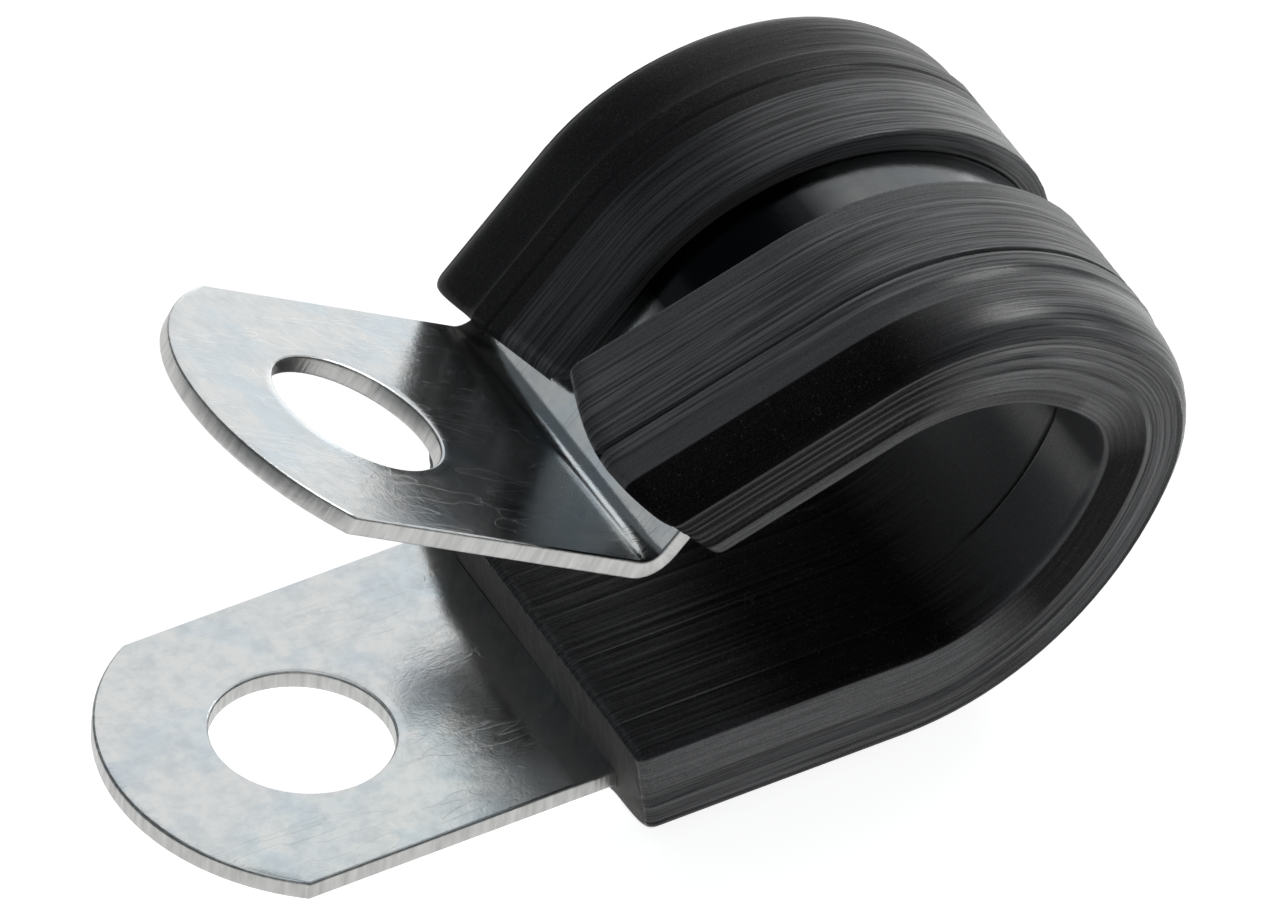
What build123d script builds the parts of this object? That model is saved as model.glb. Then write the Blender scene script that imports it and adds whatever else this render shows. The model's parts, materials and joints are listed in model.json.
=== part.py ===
from build123d import *
import os
from math import cos, radians, sin, tan

os.makedirs("parts", exist_ok=True)

# P clip with a rubber liner, open as before it is bolted up. Millimetres, +Z up. The origin is the centre of
# the lower leg's bolt hole, on the leg's top face. X runs from the leg's tip into the loop, Y across the strap.

# Strip that the strap is bent from
sheet = 0.8
band_width = 15.0

# Ends of the strip: a bolt hole, and a shallow arc that wandered towards one edge when it was cut
hole_diameter = 7.0
tip_radius = 9.0
tip_centre = 1.05
tip_drift = -0.5

# Side view of the strap's middle line: lower leg, loop, shoulder, riser and crease
leg_length = 21.6
bottom_radius = 11.4
bottom_turn = 71.4
side_radius = 5.55
side_turn = 63.6
top_radius = 12.3
top_turn = 61.0
shoulder_radius = 8.0
shoulder_turn = 30.1
riser_run = 5.8
crease_radius = 1.3

# Upper leg: its slope, and the way from the crease to its hole
tab_tilt = 25.7
tab_length = 9.2

# Every bend was made this many degrees off square to the strip
askew = 6.2

# Section of the rubber, a C closed round the strap but for a gap on the outside
pad = 2.6
flange = 0.9
half_width = 10.15
gap_near = 1.5
gap_far = 1.65
groove_at = 5.7
groove_width = 0.35
groove_depth = 0.4
shoulder_at = 7.3
crown_at = 9.3
crown_out = 1.1
widest_out = 0.5
inner_half_width = 9.85
inner_edge = 0.25

# Cut ends of the rubber, each with its lean in the side view and its slant across the strap. The far flange
# hugs the strap over the shoulder. The near one springs off it and runs straight on.
lower_cut = 10.05
lower_cut_lean = 10.0
lower_cut_slant = 7.2
near_cut = 8.5
near_cut_lean = 43.8
near_cut_slant = 10.3
far_cut = 4.3
far_cut_lean = 64.0
far_cut_slant = -7.4

# Depth of the rubber's outer and inner faces from the strap's middle
outer = sheet / 2 + flange
inner = sheet / 2 + pad

# Line of the bends and, along it, the strip's width from edge to edge
bend_line = Vector(sin(radians(askew)), cos(radians(askew)), 0)
bent_width = band_width / cos(radians(askew))

# Side view at the strip's near edge, and the slope at which the loop ends
near_side = Plane(bend_line * (-bent_width / 2), x_dir=(1, 0, 0), z_dir=(0, -1, 0))
slope = bottom_turn + side_turn + top_turn - 180


def loop_line(start):
    """Middle line of the strap, from start on the lower leg round to the end of the top arc."""
    leg = Line((start, -sheet / 2), (leg_length, -sheet / 2))
    bottom = JernArc(leg @ 1, leg % 1, bottom_radius, bottom_turn)
    side = JernArc(bottom @ 1, bottom % 1, side_radius, side_turn)
    return JernArc(side @ 1, side % 1, top_radius, top_turn)


def strap_end(plane, length, width):
    """Flat end of the strap: the arc, trimmed to the strip, and the strip on past the hole."""
    with BuildSketch(plane) as outline:
        with Locations((tip_centre, tip_drift)):
            Circle(tip_radius)
        with Locations((tip_centre, 0)):
            Rectangle(2 * tip_radius, width, align=(Align.MAX, Align.CENTER), mode=Mode.INTERSECT)
        Rectangle(length, width, align=(Align.MIN, Align.CENTER))
    return outline.sketch


def rubber_side(plane, hand, gap, root, bed):
    """One side of the rubber's section, from root outwards, with its flange lying on bed. Inwards is up."""
    with BuildSketch(plane) as side:
        with BuildLine():
            Polyline(
                (hand * root, inner), (hand * root, bed), (hand * gap, bed), (hand * gap, -outer),
                (hand * groove_at, -outer),
                (hand * (groove_at + groove_width / 2), groove_depth - outer),
                (hand * (groove_at + groove_width), -outer),
                (hand * shoulder_at, -outer), (hand * crown_at, -crown_out), (hand * half_width, -widest_out),
                (hand * inner_half_width, inner - inner_edge),
                (hand * (inner_half_width - inner_edge), inner), close=True,
            )
        make_face()
    return side.sketch


def trim(origin, lean, slant, align=Align.CENTER):
    """Cut the rubber off on the -X side of a plane that leans in the side view and slants across the strap."""
    low, aside = radians(lean), radians(slant)
    facing = (-cos(low) * cos(aside), sin(aside), -sin(low) * cos(aside))
    with BuildSketch(Plane(origin, x_dir=(0, 1, 0), z_dir=facing)) as knife:
        Rectangle(3 * half_width, 4 * pad, align=(align, Align.CENTER))
    extrude(knife.sketch, amount=3 * pad, mode=Mode.SUBTRACT)


# Strap: the loop and crease are one side view carried along the line of the bends. The two flat ends join it.
# The lower one is square to the strip and the upper one is square to the crease.
with BuildPart() as strap:
    with BuildSketch(near_side):
        with BuildLine():
            top = loop_line(leg_length / 2)
            shoulder = JernArc(top @ 1, top % 1, shoulder_radius, shoulder_turn)
            riser = PolarLine(shoulder @ 1, riser_run, direction=shoulder % 1)
            crease = JernArc(riser @ 1, riser % 1, crease_radius, -(slope + shoulder_turn + tab_tilt))
        trace(line_width=sheet)
    extrude(amount=bent_width, dir=bend_line)

    lower_end = Plane.XY
    add(strap_end(lower_end, leg_length - band_width * tan(radians(askew)), band_width))
    extrude(amount=-sheet)

    rise = Vector(-cos(radians(tab_tilt)), 0, sin(radians(tab_tilt)))
    through = Vector(sin(radians(tab_tilt)), 0, cos(radians(tab_tilt)))
    tab_normal = bend_line.cross(rise)
    tab_root = Plane.XZ.from_local_coords(crease @ 1) + through * (sheet / 2)
    inward = bend_line.cross(tab_normal).normalized()
    upper_end = Plane(tab_root - inward * tab_length, x_dir=inward, z_dir=tab_normal)
    add(strap_end(upper_end, tab_length, bent_width))
    extrude(amount=sheet, dir=-through)

    for plane in (lower_end, upper_end):
        with BuildSketch(plane):
            Circle(hole_diameter / 2)
        extrude(amount=2 * sheet, both=True, mode=Mode.SUBTRACT)

strap.part.label = "strap"
export_step(strap.part, "parts/strap.step")

# Liner blank: the outer form of the rubber, with the strap's room still filled, carried square round the loop.
# Past the loop come its near side, its far side and the pad, which thins out as the strap turns down into it.
with BuildPart() as blank:
    with BuildLine(Plane.XZ) as loop:
        loop_line(lower_cut - pad)
    start = Plane(loop.wire() @ 0, x_dir=(0, 1, 0), z_dir=loop.wire() % 0)
    end = Plane(loop.wire() @ 1, x_dir=(0, 1, 0), z_dir=loop.wire() % 1)
    full = rubber_side(start, -1, gap_near, 0, 0) + rubber_side(start, 1, gap_far, 0, 0)
    sweep(full, path=loop.wire())

    with BuildLine(Plane.XZ) as straight_on:
        PolarLine(end.origin, near_cut + 2 * pad, direction=end.z_dir)
    sweep(rubber_side(end, -1, gap_near, band_width / 2, -sheet / 2), path=straight_on.wire())

    with BuildLine(Plane.XZ) as over:
        turned = JernArc(end.origin, end.z_dir, shoulder_radius, shoulder_turn)
        PolarLine(turned @ 1, far_cut + 2 * pad, direction=turned % 1)
    sweep(rubber_side(end, 1, gap_far, band_width / 2, -sheet / 2), path=over.wire())

    with BuildSketch(Plane.XZ):
        with BuildLine():
            JernArc(top @ 1, top % 1, shoulder_radius, shoulder_turn)
            turn = radians(shoulder_turn)
            thinning = (inner - shoulder_radius * (1 - cos(turn))) / sin(turn)
            meet = PolarLine(shoulder @ 1, thinning, direction=shoulder % 1)
            Polyline(meet @ 1, (top @ 1) + Vector(sin(radians(slope)), -cos(radians(slope))) * inner, top @ 1)
        make_face()
    extrude(amount=band_width / 2, both=True)

# The loop leans along the line of the bends, so the blank is sheared to follow the strap
shear = Matrix([[1, tan(radians(askew)), 0, 0], [0, 1, 0, 0], [0, 0, 1, 0]])
sheared_blank = blank.part.transform_geometry(shear)

# Liner: the strap takes its own room out of the blank, and the ends are cut
with BuildPart() as liner:
    add(sheared_blank)
    add(strap.part, mode=Mode.SUBTRACT)
    trim((lower_cut, 0, -sheet / 2), lower_cut_lean, lower_cut_slant)
    near_origin = Plane.XZ.from_local_coords((top @ 1) + (top % 1) * near_cut)
    trim(near_origin, near_cut_lean, near_cut_slant, Align.MAX)
    far_origin = Plane.XZ.from_local_coords((shoulder @ 1) + (shoulder % 1) * far_cut)
    trim(far_origin, far_cut_lean, far_cut_slant, Align.MIN)

liner.part.label = "liner"
export_step(liner.part, "parts/liner.step")
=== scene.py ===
import json
import math

import bmesh
import bpy
import numpy as np
from mathutils import Matrix, Vector


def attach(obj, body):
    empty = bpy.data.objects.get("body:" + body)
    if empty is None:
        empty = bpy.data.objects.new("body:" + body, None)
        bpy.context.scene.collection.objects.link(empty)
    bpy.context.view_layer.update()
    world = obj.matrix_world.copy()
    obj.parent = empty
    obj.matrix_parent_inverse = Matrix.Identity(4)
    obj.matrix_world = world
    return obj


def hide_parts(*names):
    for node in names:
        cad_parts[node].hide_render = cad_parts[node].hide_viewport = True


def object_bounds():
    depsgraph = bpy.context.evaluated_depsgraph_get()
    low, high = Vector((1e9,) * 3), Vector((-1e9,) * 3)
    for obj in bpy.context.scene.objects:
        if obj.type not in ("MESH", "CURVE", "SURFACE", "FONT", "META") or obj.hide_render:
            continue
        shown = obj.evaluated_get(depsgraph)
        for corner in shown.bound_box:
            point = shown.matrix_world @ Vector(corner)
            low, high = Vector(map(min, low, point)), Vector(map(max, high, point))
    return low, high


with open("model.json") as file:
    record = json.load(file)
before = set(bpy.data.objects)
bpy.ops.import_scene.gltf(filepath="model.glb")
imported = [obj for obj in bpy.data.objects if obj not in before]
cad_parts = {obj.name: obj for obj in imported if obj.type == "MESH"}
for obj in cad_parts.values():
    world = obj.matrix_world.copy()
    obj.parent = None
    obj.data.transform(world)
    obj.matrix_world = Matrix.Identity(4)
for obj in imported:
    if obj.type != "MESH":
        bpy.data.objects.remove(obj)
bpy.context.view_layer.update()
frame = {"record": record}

# Strap: one strip of bright zinc-plated sheet steel. It was sheared to length with a shallow arc at each end,
# punched with a bolt hole near each arc, and bent round into an open loop that turns back at a sharp crease.
# Sizes are in millimetres. The flat strip is made first, with its edges worn round, and is then bent.
MM = 0.001
SHEET = 0.8
BAND = 15.0
ASKEW = math.radians(6.2)

# Lengths of the straights, and radius and degrees of each bend
LEG = 21.6
LOOP = ((11.4, 71.4), (5.55, 63.6), (12.3, 61.0))
SHOULDER = (8.0, 30.1)
RISER = 5.8
CREASE = (1.3, -71.8)
TAB_TILT = math.radians(25.7)
TAB_LENGTH = 9.2

# The ends of the strip, measured from the hole in each
TIP_RADIUS = 9.0
TIP_CENTRE = (1.05, -0.5)
TIP_POINTS = 41
HOLE_RADIUS = frame["record"]["mounts"][0]["dims"]["r_mm"]
HOLE_POINTS = 96
EDGE_WEAR = 0.13
RIM = 0.5
STRIP_COLUMNS = 17


class SideLine:
    """A line in the side view, from the lower hole on: straights (0, length) and bends (radius, degrees)."""

    def __init__(self, *pieces):
        self.pieces, self.ends = [], [0.0]
        point, heading = np.array([0.0, -SHEET / 2]), 0.0
        for radius, amount in pieces:
            length = abs(radius * math.radians(amount)) if radius else amount
            curve = math.copysign(1 / radius, amount) if radius else 0.0
            self.pieces.append((self.ends[-1], point, heading, curve))
            self.ends.append(self.ends[-1] + length)
            point, heading = self.at(self.ends[-1])

    def at(self, s):
        """Point and heading at the distance s along the line."""
        s = np.asarray(s, float)
        point, heading = np.zeros(s.shape + (2,)), np.zeros(s.shape)
        for start, origin, first, curve in self.pieces:
            run = s - start
            turned = first + curve * run
            if curve:
                step = np.stack([np.sin(turned) - math.sin(first), math.cos(first) - np.cos(turned)], -1)
                step /= curve
            else:
                step = run[..., None] * np.array([math.cos(first), math.sin(first)])
            here = (s >= start) | (start == 0)
            point = np.where(here[..., None], origin + step, point)
            heading = np.where(here, turned, heading)
        return point, heading

    def place(self, s, y, out):
        """Points in space at the distance s along, y across and out beyond the strap's middle."""
        point, heading = self.at(s)
        x = point[..., 0] + out * np.sin(heading) + y * math.tan(ASKEW)
        z = point[..., 1] - out * np.cos(heading)
        return np.stack([x, y + 0 * x, z], -1)


strap_line = SideLine((0, LEG), *LOOP, SHOULDER, (0, RISER), CREASE)
TAB_ROOT = strap_line.ends[-1]
LOOP_END = strap_line.ends[4]
BENT_WIDTH = BAND / math.cos(ASKEW)
bend_line = Vector((math.sin(ASKEW), math.cos(ASKEW), 0))
tab_normal = bend_line.cross(Vector((-math.cos(TAB_TILT), 0, math.sin(TAB_TILT)))).normalized()
tab_inward = bend_line.cross(tab_normal)


def place_strap(s, y, out):
    """As the side line does, and on past the crease over the upper leg, which is square to the crease."""
    bent = strap_line.place(np.minimum(s, TAB_ROOT), y, out)
    root = strap_line.place(np.array([TAB_ROOT]), 0.0, SHEET / 2)[0]
    flat = root - np.outer(s - TAB_ROOT, tab_inward) + np.outer(y / math.cos(ASKEW), bend_line)
    flat = flat + np.outer(out - SHEET / 2, tab_normal)
    return np.where((s > TAB_ROOT)[:, None], flat, bent)


def tip_outline(width, inset=0.0):
    """The arc end as points round the tip, from the near edge to the far one, with the hole at the origin."""
    x, y = TIP_CENTRE
    radius = TIP_RADIUS - inset
    first, last = (math.asin((side * (width / 2 - inset) - y) / radius) for side in (-1, 1))
    angles = np.linspace(first, last, TIP_POINTS)
    return np.stack([x - radius * np.cos(angles), y + radius * np.sin(angles)], -1)


def hole_outline(margin=0.0):
    """The bolt hole as a ring of points, or a ring a margin outside it."""
    angles = np.linspace(0, 2 * math.pi, HOLE_POINTS, endpoint=False)
    return (HOLE_RADIUS + margin) * np.stack([np.cos(angles), np.sin(angles)], -1)


def flat_end(sheet_mesh, to_strip, width, joint):
    """Fills one end of the flat strip, between its outline, its hole and the joint with the bent part.

    A narrow rim of square faces along the outline and round the hole keeps the shading even there.
    """
    outline, inset, hole, rim = (
        [sheet_mesh.verts.new((*to_strip(*p), 0)) for p in points]
        for points in (tip_outline(width), tip_outline(width, RIM), hole_outline(), hole_outline(RIM)))
    for a, b, c, d in zip(outline, outline[1:], inset[1:], inset):
        sheet_mesh.faces.new((a, b, c, d))
    for a, b, c, d in zip(hole, hole[1:] + hole[:1], rim[1:] + rim[:1], rim):
        sheet_mesh.faces.new((a, b, c, d))
    edges = [sheet_mesh.edges.get((a, b)) for a, b in zip(rim, rim[1:] + rim[:1])]
    ring = [outline[0]] + inset + [outline[-1]] + joint[::-1]
    for a, b in zip(ring, ring[1:] + ring[:1]):
        edges.append(sheet_mesh.edges.get((a, b)) or sheet_mesh.edges.new((a, b)))
    bmesh.ops.triangle_fill(sheet_mesh, use_beauty=True, edges=edges)
    bmesh.ops.recalc_face_normals(sheet_mesh, faces=sheet_mesh.faces)


def add_object(name, mesh):
    """A new object for a mesh, in the scene."""
    obj = bpy.data.objects.new(name, mesh)
    bpy.context.scene.collection.objects.link(obj)
    return obj


def stations(line, first, last, straight_step, bend_step):
    """Distances along a side line, closer together in its bends than in its straights."""
    marks = [first] + [e for e in line.ends if first < e < last] + [last]
    found = [first]
    for a, b in zip(marks, marks[1:]):
        curved = abs(line.at(b)[1] - line.at(a)[1]) > 1e-6
        count = max(1, math.ceil((b - a) / (bend_step if curved else straight_step)))
        found.extend(np.linspace(a, b, count + 1)[1:])
    return np.array(found)


# The flat strip, given its thickness and worn edges
flat = bmesh.new()
across = np.linspace(-BAND / 2, BAND / 2, STRIP_COLUMNS)
rows = []
for s in stations(strap_line, LEG / 2, TAB_ROOT, 1.0, 0.3):
    rows.append([flat.verts.new((s, y, 0)) for y in across])
for low, high in zip(rows, rows[1:]):
    for a, b, c, d in zip(low, low[1:], high[1:], high):
        flat.faces.new((a, b, c, d))
flat_end(flat, lambda x, y: (x - y * math.tan(ASKEW), y), BAND, rows[0])
flat_end(flat, lambda x, y: (TAB_ROOT + TAB_LENGTH - x, y * math.cos(ASKEW)), BENT_WIDTH, rows[-1])
strip_mesh = bpy.data.meshes.new("flat_strip")
flat.to_mesh(strip_mesh)
flat.free()
strip = add_object("flat_strip", strip_mesh)
thick = strip.modifiers.new("thickness", "SOLIDIFY")
thick.thickness, thick.offset = SHEET, 0
wear = strip.modifiers.new("worn_edges", "BEVEL")
wear.width, wear.segments = EDGE_WEAR, 4
wear.limit_method, wear.angle_limit = "ANGLE", math.radians(50)
worn_strip = strip.evaluated_get(bpy.context.evaluated_depsgraph_get())
bent_mesh = bpy.data.meshes.new_from_object(worn_strip)
bpy.data.objects.remove(strip)

# The strip is bent, and each point keeps its place on the flat one for the finish
strip_places = np.zeros(3 * len(bent_mesh.vertices))
bent_mesh.vertices.foreach_get("co", strip_places)
strip_places = strip_places.reshape(-1, 3)
bent_mesh.vertices.foreach_set("co", (place_strap(*strip_places.T) * MM).ravel())
kept = bent_mesh.attributes.new("strip_place", "FLOAT_VECTOR", "POINT")
kept.data.foreach_set("vector", strip_places.ravel())


def point_values(mesh, name, values):
    """Gives a mesh one number at each of its points, for its material to read."""
    mesh.attributes.new(name, "FLOAT", "POINT").data.foreach_set("value", np.array(values, float))


def graded(s, *stops):
    """A value by distance along, straight from one stop (distance, value) to the next and level past them."""
    places, values = zip(*stops)
    return np.interp(s, places, values)


FACE_DEPTH = 0.02
along, _, through = strip_places.T
point_values(bent_mesh, "torn_edge", np.abs(through) < SHEET / 2 - FACE_DEPTH)
# Painted shade: the strap is darkened where the rubber covers and shadows it, out into the gap past the loop.
point_values(bent_mesh, "under_rubber", graded(
    along, (23, 0), (26, 0.8), (51, 0.8), (53, 1), (LOOP_END + 4.5, 1), (LOOP_END + 6.5, 0)))
outside_out = bmesh.new()
outside_out.from_mesh(bent_mesh)
bmesh.ops.recalc_face_normals(outside_out, faces=outside_out.faces)
outside_out.to_mesh(bent_mesh)
outside_out.free()
bent_mesh.shade_smooth()
strap = add_object("bent_strap", bent_mesh)
even = strap.modifiers.new("even_shading", "WEIGHTED_NORMAL")
even.keep_sharp, even.weight = True, 100


class Wire:
    """One output of a shader node. Sums, differences and products of wires add the Math nodes they need."""

    def __init__(self, finish, socket):
        self.finish, self.socket = finish, socket

    def math(self, operation, first, second):
        return self.finish.add("Math", {"operation": operation}, inputs={0: first, 1: second})

    def __add__(self, other):
        return self.math("ADD", self, other)

    __radd__ = __add__

    def __mul__(self, other):
        return self.math("MULTIPLY", self, other)

    __rmul__ = __mul__

    def __sub__(self, other):
        return self.math("SUBTRACT", self, other)

    def __rsub__(self, other):
        return self.math("SUBTRACT", other, self)


class Finish:
    """A material, whose nodes are added by kind."""

    def __init__(self, name):
        self.material = bpy.data.materials.new(name)
        self.material.use_nodes = True
        self.tree = self.material.node_tree
        self.shader = self.tree.nodes["Principled BSDF"]

    def add(self, kind, settings=(), output=0, inputs=(), **sockets):
        """Adds a node with its settings first, and then its sockets, by place or by name."""
        node = self.tree.nodes.new("ShaderNode" + kind)
        for name, value in dict(settings).items():
            if name == "stops":
                ramp = node.color_ramp.elements
                for place, shade in value[len(ramp):]:
                    ramp.new(place)
                for entry, (place, shade) in zip(ramp, value):
                    entry.position, entry.color = place, (shade, shade, shade, 1)
            else:
                setattr(node, name, value)
        for place, value in dict(inputs).items():
            self.feed(node.inputs[place], value)
        for name, value in sockets.items():
            self.feed(node.inputs[name.replace("_", " ")], value)
        return Wire(self, node.outputs[output])

    def feed(self, entry, value):
        """Links a wire to a socket, or sets the socket's own value."""
        if isinstance(value, Wire):
            self.tree.links.new(value.socket, entry)
        else:
            entry.default_value = value

    def set(self, **sockets):
        """Feeds the shader's own sockets."""
        for name, value in sockets.items():
            self.feed(self.shader.inputs[name.replace("_", " ")], value)

    def mix(self, factor, first, second):
        """Two colours, mixed by a factor."""
        return self.add("Mix", {"data_type": "RGBA"}, output=2, inputs={0: factor, 6: first, 7: second})

    def scaled(self, place, scale):
        """Coordinates multiplied along each axis."""
        return self.add("VectorMath", {"operation": "MULTIPLY"}, inputs={0: place, 1: scale})


# Bright zinc plating: fine mottled crystals, a faint blue cast in patches and thin rubbing marks. The sheared
# edges are torn and duller, and painted shade darkens the metal to near black where the rubber covers and
# shadows it, out to the gap between the flanges.
zinc = Finish("bright_zinc")
strip_uv = zinc.add("Attribute", {"attribute_name": "strip_place"}, output=1)
torn_edge = zinc.add("Attribute", {"attribute_name": "torn_edge"}, output=2)
under_rubber = zinc.add("Attribute", {"attribute_name": "under_rubber"}, output=2)
mottle = zinc.add("TexNoise", Vector=strip_uv, Scale=1.1, Detail=5.0, Roughness=0.68)
patch = zinc.add("TexNoise", Vector=strip_uv, Scale=0.28, Detail=3.0, Roughness=0.6)
grit = zinc.add("TexNoise", Vector=strip_uv, Scale=8.0, Detail=3.0, Roughness=0.7)
across_sheet = zinc.scaled(strip_uv, (3.5, 3.5, 0.6))
tear = zinc.add("TexNoise", Vector=across_sheet, Scale=1.0, Detail=3.0, Roughness=0.6)
marks = 0.0
for angle, stretch, dense in ((0.3, 0.10, 0.9), (-0.8, 0.16, 0.7), (1.4, 0.2, 0.6)):
    turned = zinc.add("Mapping", Vector=strip_uv, Rotation=(0, 0, angle), Scale=(stretch, dense, 1.0))
    wander = zinc.add("TexNoise", Vector=turned, Scale=1.0, Detail=2.0, Roughness=0.5)
    line = zinc.add("ValToRGB", {"stops": ((0.612, 0.0), (0.617, 1.0), (0.622, 0.0))}, Fac=wander)
    marks = line + marks
stain = zinc.add("ValToRGB", {"stops": ((0.42, 0.0), (0.66, 1.0))}, Fac=mottle)
cast = zinc.add("ValToRGB", {"stops": ((0.48, 0.0), (0.62, 1.0))}, Fac=patch)
plate = zinc.mix(cast, (0.80, 0.81, 0.80, 1), (0.70, 0.77, 0.81, 1))
plate = zinc.mix(stain * 0.6, plate, (0.60, 0.64, 0.66, 1))
plate = zinc.mix(torn_edge, plate, zinc.mix(tear, (0.30, 0.30, 0.29, 1), (0.72, 0.72, 0.70, 1)))
# Painted shade: near black where the rubber covers and shadows the metal.
plate = zinc.mix(under_rubber, plate, (0.012, 0.014, 0.016, 1))
zinc.set(
    Base_Color=plate, Metallic=1.0,
    Roughness=0.05 + mottle * 0.15 + marks * 0.08 + grit * 0.07 + torn_edge * 0.22,
)
height = mottle * 0.3 + grit * 0.14 + marks * 0.08 + tear * torn_edge * 1.2
zinc.set(Normal=zinc.add("Bump", Strength=0.4, Distance=0.00006, Height=height))
strap.data.materials.append(zinc.material)
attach(strap, "root")
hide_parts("strap")

# Liner: one length of black extruded rubber, a C in section. A thick pad lines the inside of the loop, a bead
# covers each edge of the strap and two thin flanges fold over its outside. The die drew fine lines along it.
PAD = 2.6
FLANGE = 0.9
HALF_WIDTH = 10.15
INNER_HALF_WIDTH = 9.85
GAP = {-1: 1.5, 1: 1.65}
GROOVE_AT = 5.75
GROOVE_WIDTH = 0.24
GROOVE_DEPTH = {-1: 0.25, 1: 0.06}
SHOULDER_AT = 6.85
WIDEST_OUT = 0.3
LIP = 0.15
INNER_EDGE = 0.45
END_ROUND = 0.5
SEAT = 0.02
OUTER = SHEET / 2 + FLANGE
INNER = SHEET / 2 + PAD

# Cut ends: the place along, the lean in the side view and the slant across. The far flange hugs the strap
# over the shoulder, and the near one springs off it and runs straight on.
LOWER_CUT = (10.05, 10.0, 7.2)
NEAR_CUT = (8.5, 43.8, 10.3)
FAR_CUT = (4.3, 64.0, -7.4)
RUN_ON = 30.0
near_line = SideLine((0, LEG), *LOOP, (0, RUN_ON))
far_line = SideLine((0, LEG), *LOOP, SHOULDER, (0, RUN_ON))

# Distance between points round the section, and between rows of them on the straights and in the bends
STEP = 0.065
ROW_STEP, BEND_STEP = 1.2, 0.7
random = np.random.default_rng(11)


def sampled(*corners):
    """Points along straight runs between corners, one drawing step apart, without the last corner."""
    found = []
    for a, b in zip(corners, corners[1:]):
        a, b = np.array(a, float), np.array(b, float)
        count = max(1, round(np.linalg.norm(b - a) / STEP))
        found.extend(a + (b - a) * t for t in np.linspace(0, 1, count, endpoint=False))
    return found


def rounded(start, corner, end, count):
    """Points of a smooth turn from start to end that leaves and arrives towards the corner."""
    start, corner, end = (np.array(p, float) for p in (start, corner, end))
    t = np.linspace(0, 1, count, endpoint=False)[:, None]
    return list(start * (1 - t) ** 2 + corner * 2 * t * (1 - t) + end * t ** 2)


def side_section(hand):
    """Half of the C in (y, out), from the strap's inner corner round the edge to the pad's inner face."""
    gap = GAP[hand]
    floor = OUTER - GROOVE_DEPTH[hand]
    points = sampled((seat, -under), (seat, under), (gap, under), (gap, OUTER - LIP))
    points += rounded((gap, OUTER - LIP), (gap, OUTER), (gap + LIP, OUTER), 5)
    points += sampled(
        (gap + LIP, OUTER), (GROOVE_AT, OUTER), (GROOVE_AT + GROOVE_WIDTH * 0.4, floor),
        (GROOVE_AT + GROOVE_WIDTH * 0.6, floor), (GROOVE_AT + GROOVE_WIDTH, OUTER), (SHOULDER_AT, OUTER))
    step_down, widest = (7.6, 1.16), (HALF_WIDTH, WIDEST_OUT)
    points += rounded((SHOULDER_AT, OUTER), (7.1, 1.18), step_down, 10)
    points += rounded(step_down, (9.9, 1.12), widest, 44)
    edge, face = (INNER_HALF_WIDTH + 0.04, INNER_EDGE - INNER), (INNER_HALF_WIDTH - INNER_EDGE, -INNER)
    points += sampled(widest, edge)
    points += rounded(edge, (INNER_HALF_WIDTH, -INNER), face, 8)
    points += sampled(face, (seat, -INNER))
    return np.array(points) * (hand, 1)


# The whole section in order: near side, pad's inner face, far side, and the pad's face under the strap. The
# near side ends at corners C, by the strap, and D, on the pad's inner face, and the far one at B and A.
seat = BAND / 2 + SEAT
under = SHEET / 2 + SEAT
near_side = side_section(-1)
far_side = side_section(1)[::-1]
pad_across = np.linspace(-seat, seat, round(2 * seat / STEP) + 1)
pad_inner = np.stack([pad_across, 0 * pad_across - INNER], -1)
pad_outer = np.stack([pad_across, 0 * pad_across - under], -1)[::-1][1:-1]
section = np.concatenate([near_side, pad_inner, far_side, pad_outer])
corner_c, corner_d = 0, len(near_side)
corner_a = corner_d + len(pad_inner) - 1
corner_b = corner_a + len(far_side)

# Distance travelled round the section, and the way out of the rubber, at each of its points
steps = np.roll(section, -1, 0) - section
travel = np.concatenate([[0], np.cumsum(np.linalg.norm(steps, axis=1))[:-1]])
forward = np.roll(section, -1, 0) - np.roll(section, 1, 0)
outward = np.stack([forward[:, 1], -forward[:, 0]], -1)
outward /= np.linalg.norm(outward, axis=1)[:, None]
if np.sum(outward[corner_d:corner_a, 1]) > 0:
    outward = -outward

# Parts of the section that came out of the die with a skin of their own, by their distance off the strap's
# centre line and out from the middle of the sheet
off_centre, level = np.abs(section[:, 0]), section[:, 1]
near, outside = section[:, 0] < 0, level > under + SEAT
flange_face = outside & (off_centre < np.where(near, SHOULDER_AT, 5.0))
smooth_side = outside & ~flange_face & (off_centre < 9.75)
on_bead = off_centre > seat + 0.3
ridged_side = ~outside & on_bead & (level > -1.9)
on_side = on_bead & (level > 0.2 - INNER)
inner_rim = on_side & (level < -1.2)
thin_rim = on_side & (level < -2.1)
hidden = (off_centre <= seat + 0.01) & (np.abs(level) < under + 0.01)

# The drawn lines are ridges and scores of random width, held along the whole length
DRAWN_LINES = 260
relief = np.zeros(len(section))
for _ in range(DRAWN_LINES):
    at, wide, deep = random.uniform(0, travel[-1]), random.uniform(0.05, 0.14), random.normal(0, 0.02)
    relief += deep * np.exp(-((travel - at) / wide) ** 2)
relief *= np.where(smooth_side, 0.12, np.where(flange_face, 0.55, np.where(ridged_side, 1.6, 0.8)))
relief[hidden] = 0

# Single scores and ridges: place on the section, stretch along the length, and height
MARKS = (
    ((-6.2, -INNER), (27.5, 37.0), -0.10), ((-7.9, -INNER), (9.0, 29.0), 0.06),
    ((-4.1, -INNER), (9.0, 25.0), 0.05), ((-10.07, -0.55), (46.5, 51.5), 0.06),
    ((-10.02, -1.15), (45.5, 51.0), 0.06), ((-9.97, -1.7), (52.0, 66.0), 0.05),
    ((-10.09, -0.2), (52.5, 66.0), 0.05))
MARK_WIDTH = 0.07


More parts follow.
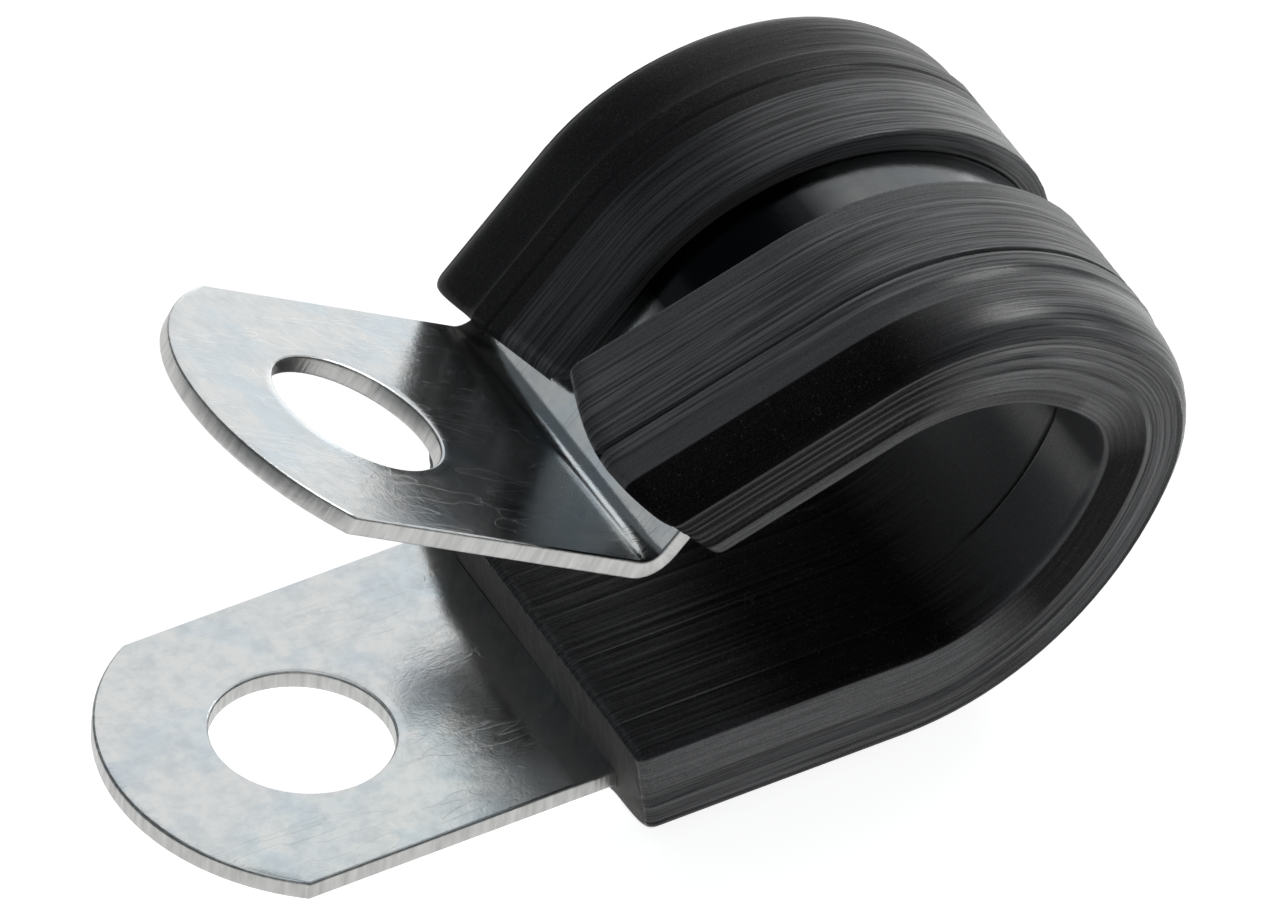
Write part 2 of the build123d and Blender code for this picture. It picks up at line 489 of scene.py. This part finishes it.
def mark_height(columns, s, place, stretch, height):
    """How far one score or ridge stands out, with a millimetre of fade at each of its ends."""
    first, last = stretch
    off = np.sum(((section[columns] - place) / MARK_WIDTH) ** 2, axis=1)
    return np.exp(-off) * graded(s, (first, 0), (first + 1, height), (last - 1, height), (last, 0))


def peak(values, at, wide):
    """1 where the values reach a place, falling away over a width on both sides."""
    return np.exp(-((values - at) / wide) ** 2)


def sheen(columns, s):
    """How scuffed and shiny the skin is, by place on the section and along the length. It also paints light
    and shade: grey and glossy where lamps catch the skin, as painted highlights, and near black where it lies
    in shade.
    """
    side = graded(s, (30, 0.75), (38, 1.0), (49.5, 1.0), (54, 0.03))
    lit = sum(peak(level[columns], at, 0.09) for at in (0.15, -0.3, -0.62, -1.1, -1.5))
    side = np.where(ridged_side[columns], np.maximum(side, 0.06 + 0.5 * lit), side)
    pad = graded(s, (13, 0.33), (17, 0.03), (24, 0.03), (30, 1.0))
    pad = pad * (1 - peak(section[columns, 0], -6.2, 0.09) * graded(s, (27, 0), (29, 1)))
    far = graded(s, (45, 0.58), (54, 0.2)) + 0.5 * peak(off_centre[columns], HALF_WIDTH, 0.5)
    found = np.where(on_side[columns], side, pad)
    lower_rim = graded(s, (25, 1.0), (29, 0.1), (37, 0.1), (42, 1.0))
    found = np.where(inner_rim[columns] & (s < 44), lower_rim, found)
    found = np.where(thin_rim[columns] & (s > 44), 0.6, found)
    found = np.where(smooth_side[columns] & ~near[columns], far, found)
    flange = np.where(near[columns], graded(s, (42, 0.7), (49, 1.0)), graded(s, (48, 1.0), (55, 0.5)))
    return np.where(flange_face[columns], flange, found)


def drawn_strength(columns, s):
    """How strongly the drawn lines show: the bead's shoulder and the pad inside the bend came out smooth."""
    rim = np.where(inner_rim[columns], 0.5, 1.0)
    found = np.where(on_side[columns], rim, graded(s, (24, 0.9), (28, 0.05)))
    found = np.where(smooth_side[columns], graded(s, (48, 1.0), (52, 0.15)), found)
    lip = near[columns] & (off_centre[columns] < 2.4)
    return np.where(flange_face[columns], np.where(lip, 0.25, 1.0), found)


def cut_plane(line, at, lean, slant):
    """A cut end's plane, facing off the rubber, through the strap's middle at a distance along."""
    low, aside = math.radians(lean), math.radians(slant)
    facing = np.array([-math.cos(low) * math.cos(aside), math.sin(aside), -math.sin(low) * math.cos(aside)])
    return line.place(np.array([at]), 0.0, 0.0)[0], facing


def reach(line, at, plane, columns):
    """Where the drawn lines meet a cut plane on a straight piece, as distances along."""
    origin, facing = plane
    here = line.place(np.full(len(columns), at), *section[columns].T)
    there = line.place(np.full(len(columns), at + 1.0), *section[columns].T)
    return at + (origin - here) @ facing / ((there - here) @ facing)


# Painted highlight, with wear: the skin along a cut edge is painted grey and glossy as if it caught the
# light.
WORN_EDGE_SCUFF_AND_HIGHLIGHT = 0.85
HIDDEN_SCUFF_AND_LIGHT = 0.1
rubber = bmesh.new()
drawn_places, scuff_and_painted_light_values = [], []


def vertex(line, s, y, out, along_section=0.0):
    """One vertex of the rubber, which remembers its place on the drawn skin."""
    drawn_places.append((along_section, s, 0))
    scuff_and_painted_light_values.append(HIDDEN_SCUFF_AND_LIGHT)
    return rubber.verts.new(line.place(np.array([s]), y, out)[0] * MM)


def row_of(line, s, columns, sink=0.0, worn_and_highlit=False):
    """One row of vertices round part of the section, at a distance along, the same for all or one for each.

    The row may be sunk in towards a cut end, and given the cut edge's wear and painted highlight.
    """
    s = np.full(len(columns), s)
    strength = drawn_strength(columns, s)
    raised = relief[columns] * strength - sink + sum(mark_height(columns, s, *mark) for mark in MARKS)
    at_y, at_out = (section[columns] + outward[columns] * raised[:, None]).T
    drawn_places.extend(zip(travel[columns], s, strength))
    scuff_and_painted_light_values.extend(np.where(worn_and_highlit, WORN_EDGE_SCUFF_AND_HIGHLIGHT, sheen(columns, s)))
    return [rubber.verts.new(p) for p in line.place(s, at_y, at_out) * MM]


def skin(rows, closed=False):
    """Faces between rows of vertices."""
    for low, high in zip(rows, rows[1:]):
        for a in range(0 if closed else 1, len(low)):
            rubber.faces.new((low[a - 1], low[a], high[a], high[a - 1]))


def end_sink(distance):
    """How far the skin is drawn in near a cut end, by its distance from the cut."""
    inside = np.clip(1 - distance / END_ROUND, 0, 1)
    return END_ROUND * 0.5 * (1 - np.sqrt(1 - inside ** 2))


def run_out(line, columns, first_row, marks, ends):
    """Carries a side on from the loop to its cut end, over the marked distances, and closes the end."""
    found = [first_row]
    for s in marks:
        found.append(row_of(line, s, columns))
    for t in np.linspace(0, 1, 8)[1:-1]:
        found.append(row_of(line, marks[-1] * (1 - t) + (ends - END_ROUND) * t, columns))
    for d in end_steps[::-1]:
        found.append(row_of(line, ends - d, columns, end_sink(d) * exposed[columns], flange_face[columns]))
    skin(found)
    caps.append(rubber.faces.new(found[-1]))
    return found


# The whole section runs from the lower cut to the end of the loop. The cut falls back on the far side.
CUT_FALLS_BACK = 1.1
whole = np.arange(len(section))
exposed = np.where(hidden, 0.0, 1.0)
end_steps = END_ROUND * (1 - np.cos(np.linspace(0, math.pi / 2, 6)))
lower_end = reach(near_line, LOWER_CUT[0], cut_plane(near_line, *LOWER_CUT), whole)
lower_end += graded(section[:, 0], (5.5, 0), (9.5, CUT_FALLS_BACK))
body = stations(near_line, LOWER_CUT[0] + 3.0, LOOP_END, ROW_STEP, BEND_STEP)
rows = [row_of(near_line, lower_end + d, whole, end_sink(d) * exposed, d == 0) for d in end_steps]
for t in (0.35, 0.7):
    rows.append(row_of(near_line, (lower_end + END_ROUND) * (1 - t) + body[0] * t, whole))
rows += [row_of(near_line, s, whole) for s in body]
skin(rows, closed=True)
caps = [rubber.faces.new(rows[0])]
top_row = rows[-1]

# Past the loop the near side springs off the strap and runs straight on, and the far side hugs the strap down
# to the crease. Between them the pad thins out to nothing, where the strap turns down into it.
near_columns = np.arange(corner_c, corner_d + 1)
far_columns = np.arange(corner_a, corner_b + 1)
radius, turn = SHOULDER[0], math.radians(SHOULDER[1])
drop = (radius - under) * (1 - math.cos(turn))
far_tip = LOOP_END + radius * turn + (INNER - under - drop) / math.sin(turn)
near_tip = LOOP_END + (radius - under) * math.sin(turn) + (INNER - under - drop) / math.tan(turn)
near_marks = np.linspace(LOOP_END, near_tip, 12)[1:]
far_marks = np.linspace(LOOP_END, far_tip, 12)[1:]
CUT_BULGE, BULGE_FROM, BULGE_WIDTH = 0.6, 1.9, 7.6
near_at = LOOP_END + NEAR_CUT[0]
near_ends = reach(near_line, near_at, cut_plane(near_line, near_at, *NEAR_CUT[1:]), near_columns)
near_ends += CUT_BULGE * np.sin(math.pi * (off_centre[near_columns] - BULGE_FROM) / BULGE_WIDTH)
far_at = LOOP_END + radius * turn + FAR_CUT[0]
far_ends = reach(far_line, far_at, cut_plane(far_line, far_at, *FAR_CUT[1:]), far_columns)
near_rows = run_out(near_line, near_columns, [top_row[i] for i in near_columns], near_marks, near_ends)
far_rows = run_out(far_line, far_columns, [top_row[i] for i in far_columns], far_marks, far_ends)
steps_in = len(near_marks)

# The pad's two faces between the sides, which close on each other along the last of the marks
pad_columns = np.arange(corner_d, corner_a + 1)
pad_edge = [vertex(near_line, s, *section[corner_a], travel[corner_a]) for s in near_marks[:-1]]
pad_rows = [[top_row[i] for i in pad_columns]]
for k, s in enumerate(near_marks):
    middle = row_of(near_line, s, pad_columns[1:-1])
    edge = pad_edge[k] if k < steps_in - 1 else far_rows[steps_in][-1]
    pad_rows.append([near_rows[k + 1][-1]] + middle + [edge])
skin(pad_rows)
bed_rows = [[top_row[corner_c]] + top_row[:corner_b - 1:-1]]
near_wall = []
for k, s in enumerate(far_marks[:-1]):
    near_wall.append(vertex(far_line, s, section[corner_c][0], -under))
    middle = [vertex(far_line, s, y, -under) for y in section[pad_columns[1:-1], 0]]
    bed_rows.append([near_wall[k]] + middle + [far_rows[k + 1][-1]])
bed_rows.append(pad_rows[-1])
skin(bed_rows)

# The two upright walls where the sides part, and the cut ends take the blade's finish
edge_c, edge_d = [r[0] for r in near_rows], [r[-1] for r in near_rows]
caps.append(rubber.faces.new([edge_c[0]] + near_wall + edge_d[steps_in:] + edge_c[:0:-1]))
edge_a, edge_b = [r[0] for r in far_rows], [r[-1] for r in far_rows]
caps.append(rubber.faces.new(edge_a + edge_b[:steps_in - 1:-1] + pad_edge[::-1]))
bmesh.ops.recalc_face_normals(rubber, faces=rubber.faces)
for cap in caps:
    cap.material_index = 1
bmesh.ops.triangulate(rubber, faces=caps)
liner_mesh = bpy.data.meshes.new("rubber_liner")
rubber.to_mesh(liner_mesh)
rubber.free()
drawn = liner_mesh.attributes.new("drawn_place", "FLOAT_VECTOR", "POINT")
drawn.data.foreach_set("vector", np.array(drawn_places, float).ravel())
# Painted light and shade, with the scuffing, for the rubber's material to read.
point_values(liner_mesh, "sheen", scuff_and_painted_light_values)
liner_mesh.shade_smooth()
liner = add_object("rubber_liner", liner_mesh)
crisp = liner.modifiers.new("even_shading", "WEIGHTED_NORMAL")
crisp.keep_sharp = True

# The drawn skin: fine lines along the length, grey where it is scuffed and black where it is smooth, with a
# few nicks and specks of dust. The grey and black also paint light and shade: grey where lamps catch the
# skin, as painted highlights, and black where it lies in shade.
black = Finish("drawn_rubber")
drawn_uv = black.add("Attribute", {"attribute_name": "drawn_place"}, output=1)
scuff_and_painted_light_here = black.add("Attribute", {"attribute_name": "sheen"}, output=2)
strength_here = black.add("SeparateXYZ", output=2, Vector=drawn_uv)
finely, broadly, loosely = (
    black.scaled(drawn_uv, stretch) for stretch in ((7.0, 0.10, 0), (2.5, 0.06, 0), (0.9, 0.5, 0)))
streak = black.add("TexNoise", Vector=finely, Scale=1.0, Detail=4.0, Roughness=0.75)
coarse = black.add("TexNoise", Vector=broadly, Scale=1.0, Detail=2.0, Roughness=0.5)
skin_grain = black.add("TexNoise", Vector=drawn_uv, Scale=15.0, Detail=3.0, Roughness=0.75)
wander = black.add("TexNoise", Vector=loosely, Scale=1.0, Detail=2.0, Roughness=0.5)
nick = black.add("ValToRGB", {"stops": ((0.622, 0.0), (0.627, 1.0), (0.632, 0.0))}, Fac=wander)
dust = black.add("TexVoronoi", Vector=drawn_uv, Scale=3.2, Randomness=1.0)
speck = black.add("ValToRGB", {"stops": ((0.05, 1.0), (0.16, 0.0))}, Fac=dust)
grainy = black.add("ValToRGB", {"stops": ((0.46, 0.0), (0.66, 1.0))}, Fac=skin_grain)
lines = black.add("ValToRGB", {"stops": ((0.38, 0.0), (0.60, 1.0))}, Fac=streak)
lines = (lines - 0.5) * strength_here + 0.45 + (grainy - 0.4) * 0.3
scuffed_lit_grey = black.mix(lines, (0.045, 0.045, 0.046, 1), (0.200, 0.198, 0.204, 1))
smooth_shaded_black = black.mix(grainy, (0.001, 0.0008, 0.0011, 1), (0.018, 0.016, 0.019, 1))
# Painted light and shade: the skin is mixed from black to grey by where lamps catch it.
skin_colour = black.mix(scuff_and_painted_light_here, smooth_shaded_black, scuffed_lit_grey)
raised = (streak * 0.7 + coarse * 0.4) * strength_here + skin_grain * 0.3
black.set(
    Base_Color=black.mix(speck * 0.5 + nick * 0.4, skin_colour, (0.10, 0.096, 0.088, 1)),
    Roughness=0.42 + streak * 0.2 + skin_grain * 0.08,
    Specular_IOR_Level=0.03,
    Coat_Weight=scuff_and_painted_light_here * (0.45 + lines * 0.55 + grainy * 0.3), Coat_Roughness=0.27,
    Normal=black.add("Bump", Strength=0.8, Distance=0.0001, Height=raised),
)
liner.data.materials.append(black.material)

# The cut ends are dull and a little brown, with the fine marks of the blade
cut = Finish("cut_rubber")
cut_place = cut.add("TexCoord", output=3)
along_blade = cut.scaled(cut_place, (300, 2600, 900))
blade = cut.add("TexNoise", Vector=along_blade, Scale=1.0, Detail=3.0, Roughness=0.6)
crumb = cut.add("TexNoise", Vector=cut_place, Scale=9000.0, Detail=3.0, Roughness=0.7)
cut.set(
    Base_Color=cut.mix(blade, (0.07, 0.066, 0.064, 1), (0.21, 0.20, 0.19, 1)), Roughness=0.55 + crumb * 0.3,
    Specular_IOR_Level=0.25,
    Normal=cut.add("Bump", Strength=0.8, Distance=0.00008, Height=blade * 0.7 + crumb * 0.4),
)
liner.data.materials.append(cut.material)
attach(liner, "root")
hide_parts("liner")

# Floor: a plain pale sheet of paper that the clip lies on, in metres. The camera and the metal see it as
# white, and it keeps the clip's shadow.
FLOOR_HALF = 3.0
FLOOR_CLEAR = 0.00002
floor_mesh = bpy.data.meshes.new("pale_floor")
corners = [(x * FLOOR_HALF, y * FLOOR_HALF, 0) for x, y in ((-1, -1), (1, -1), (1, 1), (-1, 1))]
floor_mesh.from_pydata(corners, [], [(0, 1, 2, 3)])
floor = add_object("pale_floor", floor_mesh)
floor.location.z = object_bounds()[0].z - FLOOR_CLEAR
paper = Finish("pale_paper")
by_camera, by_gloss, by_glass = (
    paper.add("LightPath", output=ray) for ray in ("Is Camera Ray", "Is Glossy Ray", "Is Transmission Ray"))
seen = by_camera.math("MAXIMUM", by_camera.math("MAXIMUM", by_camera, by_gloss), by_glass)
paper.set(
    Base_Color=(0.82, 0.82, 0.82, 1), Roughness=0.9, Specular_IOR_Level=0.0,
    Emission_Color=paper.mix(seen, (0, 0, 0, 1), (1, 1, 1, 1)), Emission_Strength=0.85,
)
floor.data.materials.append(paper.material)

# Soft studio light: one broad lamp behind and to the right, four weaker ones round the clip, and a dim sky
world = bpy.data.worlds.new("studio")
bpy.context.scene.world = world
world.use_nodes = True
world.node_tree.nodes["Background"].inputs["Color"].default_value = (0.84, 0.93, 1, 1)
world.node_tree.nodes["Background"].inputs["Strength"].default_value = 0.11


LAMP_DISTANCE = 0.6
CLIP_MIDDLE = Vector((0.013, 0, 0.008))


def panel(name, direction, size, power):
    """A round soft lamp that faces the clip from a direction."""
    lamp = bpy.data.lights.new(name, "AREA")
    lamp.shape, lamp.size, lamp.energy = "DISK", size, power
    obj = bpy.data.objects.new(name, lamp)
    bpy.context.scene.collection.objects.link(obj)
    away = Vector(direction).normalized()
    obj.location = CLIP_MIDDLE + away * LAMP_DISTANCE
    obj.rotation_euler = away.to_track_quat("Z", "Y").to_euler()


panel("back_panel", (0.60, 0.62, 0.37), 0.66, 0.8)
panel("left_panel", (-0.62, 0.66, 0.41), 0.3, 0.07)
panel("right_panel", (0.93, -0.18, 0.32), 0.18, 0.2)
panel("bead_panel", (0.74, 0.2, 0.63), 0.23, 0.58)
panel("side_fill", (-0.45, -0.8, 0.4), 0.6, 0.45)

# Camera at the photograph's viewing angle: far off, with a long lens. The clip's origin falls on ORIGIN_PIXEL
# of the photograph's frame, and distances are in millimetres.
AZIMUTH, ELEVATION, ROLL = math.radians(-37.006), math.radians(39.477), math.radians(5.357)
PIXELS_PER_MM = 26.880
DISTANCE = 1194.2
ORIGIN_PIXEL = (302.27, 731.94)
PICTURE = (1280, 900)
forward_dir = Vector((
    -math.sin(AZIMUTH) * math.cos(ELEVATION), math.cos(AZIMUTH) * math.cos(ELEVATION), -math.sin(ELEVATION)))
level = Vector((math.cos(AZIMUTH), math.sin(AZIMUTH), 0))
upright = level.cross(forward_dir)
right = level * math.cos(ROLL) + upright * math.sin(ROLL)
down = level * math.sin(ROLL) - upright * math.cos(ROLL)
aim = forward_dir * DISTANCE
aim += right * (PICTURE[0] / 2 - ORIGIN_PIXEL[0]) / PIXELS_PER_MM
aim += down * (PICTURE[1] / 2 - ORIGIN_PIXEL[1]) / PIXELS_PER_MM
aim.normalize()
across_view = (right - aim * right.dot(aim)).normalized()
up_view = across_view.cross(aim)
camera_data = bpy.data.cameras.new("camera")
camera_data.lens = camera_data.sensor_width * PIXELS_PER_MM * DISTANCE / PICTURE[0]
camera_data.clip_end = 10.0
camera = bpy.data.objects.new("camera", camera_data)
bpy.context.scene.collection.objects.link(camera)
camera.matrix_world = Matrix.Translation(-forward_dir * DISTANCE * MM) @ Matrix(
    (across_view, up_view, -aim)).transposed().to_4x4()
bpy.context.scene.camera = camera

bpy.context.scene.view_settings.view_transform = "Standard"
